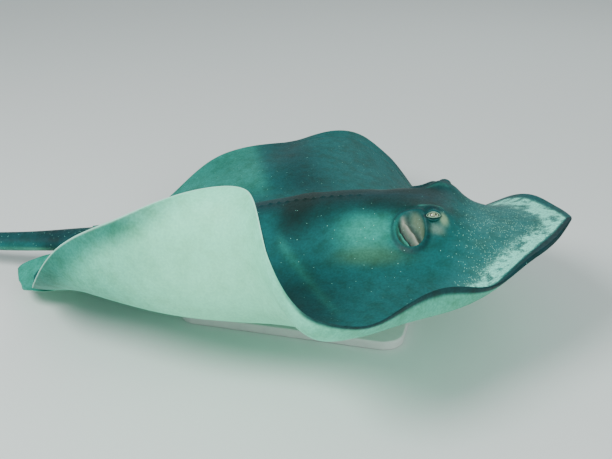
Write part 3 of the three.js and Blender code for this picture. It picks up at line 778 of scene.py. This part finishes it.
# ---- materials ----
class Nodes:
    """A short way to write a material's nodes."""

    def __init__(self, name, **sockets):
        self.material = bpy.data.materials.new(name)
        self.material.use_nodes = True
        self.tree = self.material.node_tree
        self.shader = self.tree.nodes["Principled BSDF"]
        for key, value in sockets.items():
            self.shader.inputs[key.replace("_", " ")].default_value = value

    def add(self, kind, links=None, **settings):
        node = self.tree.nodes.new(kind)
        for key, value in settings.items():
            setattr(node, key, value)
        for key, value in (links or {}).items():
            self.put(node.inputs[key], value)
        return node

    def put(self, socket, value):
        if isinstance(value, bpy.types.NodeSocket):
            self.tree.links.new(value, socket)
        else:
            socket.default_value = value

    def place(self):
        return self.add("ShaderNodeTexCoord").outputs["Object"]

    def noise(self, scale, detail=3.0, rough=0.5, where=None):
        links = {"Scale": scale, "Detail": detail, "Roughness": rough, "Vector": where or self.place()}
        return self.add("ShaderNodeTexNoise", links).outputs["Fac"]

    def ramp(self, value, low, high, to_low=0.0, to_high=1.0):
        links = {"Value": value, "From Min": low, "From Max": high, "To Min": to_low, "To Max": to_high}
        return self.add("ShaderNodeMapRange", links).outputs["Result"]

    def math(self, operation, a, b):
        return self.add("ShaderNodeMath", {0: a, 1: b}, operation=operation).outputs[0]

    def mix(self, amount, a, b, blend="MIX"):
        node = self.add("ShaderNodeMix", data_type="RGBA", blend_type=blend)
        self.put(node.inputs[0], amount)
        self.put(node.inputs[6], a)
        self.put(node.inputs[7], b)
        return node.outputs[2]

    def bump(self, height, strength, distance, under=None):
        links = {"Height": height, "Strength": strength, "Distance": distance}
        if under:
            links["Normal"] = under
        return self.add("ShaderNodeBump", links).outputs["Normal"]

    def finish(self, **links):
        for key, value in links.items():
            self.put(self.shader.inputs[key.replace("_", " ")], value)
        return self.material


def colour(*screen):
    return (*rgb(*screen), 1.0)


def skin_material():
    """The paint on the points, clouded and grained, with sand on it as dust and as single specks."""
    n = Nodes("ray_skin", Specular_IOR_Level=0.18)
    tone = n.add("ShaderNodeVertexColor", layer_name="tone").outputs["Color"]
    sand = n.add("ShaderNodeAttribute", attribute_name="sand").outputs["Fac"]
    clouds, blotches, grain = n.noise(7, 4), n.noise(38, 4, 0.6), n.noise(240, 3, 0.6)
    pale = n.add("ShaderNodeSeparateColor", {"Color": tone}).outputs["Red"]
    dark = n.ramp(pale, 0.05, 0.4, 1.0, 0.16)
    cloudy = n.math("MULTIPLY", n.ramp(clouds, 0.35, 0.7, 0.0, 0.6), dark)
    blotchy = n.math("MULTIPLY", n.ramp(blotches, 0.42, 0.66, 0.0, 0.6), dark)
    grainy = n.math("MULTIPLY", n.ramp(grain, 0.35, 0.62, 0.0, 0.55), dark)
    base = n.mix(cloudy, tone, (0.6, 0.62, 0.58, 1), "MULTIPLY")
    base = n.mix(blotchy, base, (0.66, 0.58, 0.46, 1), "MULTIPLY")
    base = n.mix(grainy, base, (0.5, 0.56, 0.56, 1), "MULTIPLY")
    cells = n.add("ShaderNodeTexVoronoi", {"Scale": 520.0, "Vector": n.place(), "Randomness": 1.0})
    chance = n.add("ShaderNodeSeparateColor", {"Color": cells.outputs["Color"]}).outputs["Red"]
    thick = n.math("MULTIPLY", sand, n.ramp(n.noise(55, 3), 0.3, 0.6, 0.5, 1.35))
    ragged = n.math("ADD", cells.outputs["Distance"], n.ramp(n.noise(900, 2), 0.3, 0.7, -0.12, 0.12))
    few = n.math("MULTIPLY", thick, 0.6)
    speck = n.math("MULTIPLY", n.math("LESS_THAN", chance, few), n.ramp(ragged, 0.26, 0.44, 0.8, 0.0))
    start = n.ramp(thick, 0.0, 1.0, 0.8, 0.4)
    streaks = n.add("ShaderNodeMapping", {"Vector": n.place(), "Rotation": (0.0, 0.0, 0.5),
                                          "Scale": (0.45, 1.3, 1.0)})
    dust = n.math("SUBTRACT", n.noise(420, 5, 0.85, streaks.outputs["Vector"]), start)
    dust = n.math("MULTIPLY", n.ramp(dust, 0.0, 0.12), n.ramp(sand, 0.02, 0.1))
    base = n.mix(n.math("MULTIPLY", thick, 0.3), base, colour(120, 190, 172))
    base = n.mix(n.math("MULTIPLY", dust, 0.9), base, colour(140, 252, 226))
    base = n.mix(speck, base, colour(160, 250, 224))
    leather = n.bump(n.noise(420, 3, 0.6), 0.22, 0.0006)
    wrinkles = n.bump(n.noise(95, 4, 0.6), 0.25, 0.0016, leather)
    raised = n.bump(speck, 0.5, 0.0005, wrinkles)
    return n.finish(Base_Color=base, Roughness=n.ramp(grain, 0.2, 0.8, 0.42, 0.6), Normal=raised)


def eye_material():
    n = Nodes("eye_cornea", Roughness=0.12, Coat_Weight=1.0, Coat_Roughness=0.03, Specular_IOR_Level=0.6)
    tone = n.add("ShaderNodeVertexColor", layer_name="tone").outputs["Color"]
    base = n.mix(n.ramp(n.noise(700, 3), 0.35, 0.65, 0.0, 0.3), tone, (0.6, 0.6, 0.5, 1), "MULTIPLY")
    return n.finish(Base_Color=base)


def sting_material():
    n = Nodes("sting_dentine", Specular_IOR_Level=0.5)
    grain = n.noise(260, 4)
    base = n.mix(grain, colour(168, 150, 118), colour(212, 198, 166))
    return n.finish(Base_Color=base, Roughness=n.ramp(grain, 0.3, 0.7, 0.38, 0.55),
                    Normal=n.bump(grain, 0.3, 0.0005))


def board_material():
    n = Nodes("stand_lacquer", Specular_IOR_Level=0.45, Coat_Weight=0.15, Coat_Roughness=0.3)
    grain = n.noise(60, 5)
    base = n.mix(n.ramp(grain, 0.3, 0.7), colour(206, 208, 205), colour(214, 216, 212))
    return n.finish(Base_Color=base, Roughness=n.ramp(n.noise(400, 2), 0.3, 0.7, 0.42, 0.52),
                    Normal=n.bump(n.noise(700, 2), 0.08, 0.0004))


def rod_material():
    n = Nodes("stand_steel", Metallic=1.0)
    brushed = n.add("ShaderNodeMapping", {"Vector": n.place(), "Scale": (900.0, 900.0, 12.0)})
    lines = n.noise(1.0, 4, 0.6, brushed.outputs["Vector"])
    base = n.mix(lines, colour(176, 180, 182), colour(206, 208, 210))
    return n.finish(Base_Color=base, Roughness=n.ramp(lines, 0.3, 0.7, 0.25, 0.42),
                    Normal=n.bump(lines, 0.12, 0.0002))


# ---- eyes ----
def eye_piece(name, sign):
    """An eyeball looking out and up, with a pale iris and the pupil's two-lobed crescent."""
    centre, gaze, ahead, above = eye_frame(sign)
    rings = np.r_[np.linspace(0.003, 1.15, 90), np.linspace(1.2, math.pi - 0.003, 30)]
    polar, turn = np.meshgrid(rings, np.linspace(0, 2 * math.pi, 144, endpoint=False), indexing="ij")
    x, y, out = np.sin(polar) * np.cos(turn), np.sin(polar) * np.sin(turn), np.cos(polar)
    radius = EYE_RADIUS - 0.6 + 0.9 * (1 - smooth(polar, 0.2, 0.95))
    way = gaze * out[..., None] + ahead * x[..., None] + above * y[..., None]
    points = centre + radius[..., None] * way
    wide, tall = x / np.maximum(out, 0.05), y / np.maximum(out, 0.05)
    r = np.hypot(wide, tall)
    tone = flat(IRIS, polar.shape)
    tone = paint(tone, IRIS_DARK, 0.5 + 0.5 * np.sin(turn * 37 + 3 * np.sin(turn * 5)))
    tone = paint(tone, IRIS_RING, bell(r, 0.72, 0.12))
    tone = paint(tone, IRIS_EDGE, smooth(r, 0.85, 1.05))
    hole = 1 - smooth(np.hypot(wide / 0.54, tall / 0.3), 0.92, 1.02)
    flap = 1 - smooth(np.hypot(wide / 0.25, (tall - 0.1) / 0.36), 0.9, 1.02)
    tone = paint(tone, PUPIL, hole * (1 - flap))
    tone = paint(tone, EYE_BACK, smooth(polar, 1.2, 1.3))
    quads = capped_quads(*polar.shape)
    if np.cross(ahead, above) @ gaze < 0:
        quads = quads[:, ::-1]
    made = object_from(name, points.reshape(-1, 3), quads, tone.reshape(-1, 3))
    made.data.materials.append(EYE)
    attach(made, "root")
    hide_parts(name)


# ---- the sting ----
STING = {"from": 300.0, "length": 105.0, "width": 9.0, "thick": 4.0, "teeth": 26}


def sting_piece():
    """A flat blade along the tail, grooved above, with teeth that point back to its root."""
    u, turn = np.meshgrid(np.linspace(0, 1, 260), np.linspace(0, 2 * math.pi, 32, endpoint=False),
                          indexing="ij")
    along = STING["from"] + STING["length"] * u
    blade = 1 - 0.88 * np.clip((u - 0.15) / 0.85, 0, 1) ** 1.5
    wide = STING["width"] / 2 * np.where(u < 0.15, 0.75 + u * 1.6, blade)
    saw = (u * STING["teeth"]) % 1
    wide = wide * (1 - 0.16 * saw * (u > 0.12))
    half = STING["thick"] / 2 * (1 - 0.55 * u)
    flattened = np.sign(np.sin(turn)) * np.abs(np.sin(turn)) ** 1.2
    groove = 0.35 * bell(np.cos(turn), 0, 0.3) * (np.sin(turn) > 0)
    centre, left, up = tail_frame(along)
    lift = through(TAIL_SIZE_AT, TAIL_HALF_HIGH, along) + STING["thick"] / 2 - 0.9 + 5 * u
    places = centre + left * (np.cos(turn) * wide)[..., None] \
        + up * (lift + flattened * (half - groove))[..., None]
    made = object_from("sting", carried(places).reshape(-1, 3), capped_quads(*u.shape))
    made.data.materials.append(sting_material())
    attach(made, "root")
    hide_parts("tail_sting")


# ---- the stand ----
BOARD = {"corner": 40.0, "bevel": 3.0, "bevel_steps": 6}
RING = 96


def box_mm(node):
    return [np.array(v) * 1000 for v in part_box(node)]


def stand_pieces():
    """A flat board with rounded edges, and two rods that run up into the belly."""
    low, high = box_mm("stand_base")
    half, middle = (high - low) / 2, (high + low) / 2
    corner, bevel = BOARD["corner"], BOARD["bevel"]
    turn = np.linspace(0, 2 * math.pi, RING, endpoint=False)
    aside = 1e-6  # keeps the signs off zero
    sx, sy = np.sign(np.cos(turn + aside)), np.sign(np.sin(turn + aside))
    rings = []
    bend = np.linspace(0, math.pi / 2, BOARD["bevel_steps"])
    profile = [(bevel * (1 - math.sin(t)), low[2] + bevel * (1 - math.cos(t))) for t in bend]
    profile += [(bevel * (1 - math.sin(t)), high[2] - bevel * (1 - math.cos(t))) for t in bend[::-1]]
    for inset, z in profile:
        r = corner - inset
        x = middle[0] + sx * (half[0] - corner) + r * np.cos(turn)
        y = middle[1] + sy * (half[1] - corner) + r * np.sin(turn)
        rings.append(np.stack([x, y, np.full(RING, z)], -1))
    board = object_from("stand_board", np.concatenate(rings), capped_quads(len(rings), RING))
    flat_ends(board)
    board.data.materials.append(board_material())
    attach(board, "root")
    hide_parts("stand_base")
    steel = rod_material()
    for node in ("stand_rod_front", "stand_rod_rear"):
        low, high = box_mm(node)
        radius, x, y = (high[0] - low[0]) / 2, (high[0] + low[0]) / 2, (high[1] + low[1]) / 2
        levels = [low[2] - 1, low[2] + 1, high[2] + 1]  # 1 mm past both of the node's ends
        ring = np.stack([x + radius * np.cos(turn), y + radius * np.sin(turn)], -1)
        places = np.concatenate([np.c_[ring, np.full(RING, z)] for z in levels])
        rod = object_from(node + "_post", places, capped_quads(len(levels), RING))
        flat_ends(rod)
        rod.data.materials.append(steel)
        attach(rod, "root")
        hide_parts(node)


# ---- the pieces ----
FLESH = ["head", "trunk", "tail_base", "tail_middle", "tail_whip"] + [
    f"{part}_{side}" for part in ("pectoral_fin", "pectoral_tip", "pelvic_fin")
    for side in ("right", "left")]
EYE = eye_material()

skin = object_from("skin", *joined([*disc_parts(), tail_part(), pelvic_part(-1), pelvic_part(1)]))
skin.data.materials.append(skin_material())
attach(skin, "root")
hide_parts(*FLESH)
eye_piece("eye_right", -1)
eye_piece("eye_left", 1)
sting_piece()
stand_pieces()


# ---- camera, in metres ----
AZIMUTH, ELEVATION, DISTANCE = math.radians(14.9), math.radians(24.25), 1.755
AIM_RIGHT, AIM_UP = 0.008, 0.032  # from the body's height over the origin
SENSOR_MM, FOCAL_PX, WIDTH_PX = 36, 901, 612
away = Vector((math.sin(AZIMUTH) * math.cos(ELEVATION), -math.cos(AZIMUTH) * math.cos(ELEVATION),
               math.sin(ELEVATION)))
rightward = Vector((math.cos(AZIMUTH), math.sin(AZIMUTH), 0))
upward = away.cross(rightward)
target = rightward * AIM_RIGHT + upward * AIM_UP + Vector((0, 0, BODY_HEIGHT / 1000))
camera_data = bpy.data.cameras.new("camera")
camera_data.sensor_width = SENSOR_MM
camera_data.lens = SENSOR_MM * FOCAL_PX / WIDTH_PX
camera = bpy.data.objects.new("camera", camera_data)
camera.matrix_world = Matrix.Translation(target + away * DISTANCE) @ Matrix(
    (rightward, upward, away)).transposed().to_4x4()
bpy.context.scene.collection.objects.link(camera)
bpy.context.scene.camera = camera

# ---- floor and lights ----
FLOOR_HALF, FLOOR_DROP = 60, 0.0005
floor_mesh = bpy.data.meshes.new("floor")
floor_mesh.from_pydata([(x * FLOOR_HALF, y * FLOOR_HALF, -FLOOR_DROP)
                        for x, y in ((-1, -1), (1, -1), (1, 1), (-1, 1))], [], [(0, 1, 2, 3)])
floor_mesh.materials.append(Nodes("floor_card", Base_Color=colour(222, 226, 224), Roughness=0.9).material)
floor = bpy.data.objects.new("floor", floor_mesh)
bpy.context.scene.collection.objects.link(floor)


def area_light(name, place, size, power, tint, aim=(0, 0, 0.15)):
    data = bpy.data.lights.new(name, "AREA")
    data.shape, data.size, data.energy, data.color = "DISK", size, power, tint
    light = bpy.data.objects.new(name, data)
    light.location = place
    light.rotation_euler = (Vector(aim) - Vector(place)).to_track_quat("-Z", "Y").to_euler()
    bpy.context.scene.collection.objects.link(light)


area_light("key", (-1.4, -1.9, 2.6), 1.6, 115, (1, 1, 1))
area_light("fill", (2.4, -1.8, 1.4), 2.0, 40, (0.95, 1, 1))
area_light("back", (0.6, 2.6, 2.4), 2.0, 16, (0.95, 1, 1))
world = bpy.data.worlds.new("world")
bpy.context.scene.world = world
world.use_nodes = True
world.node_tree.nodes["Background"].inputs["Color"].default_value = (0.75, 0.85, 0.86, 1)
world.node_tree.nodes["Background"].inputs["Strength"].default_value = 0.65
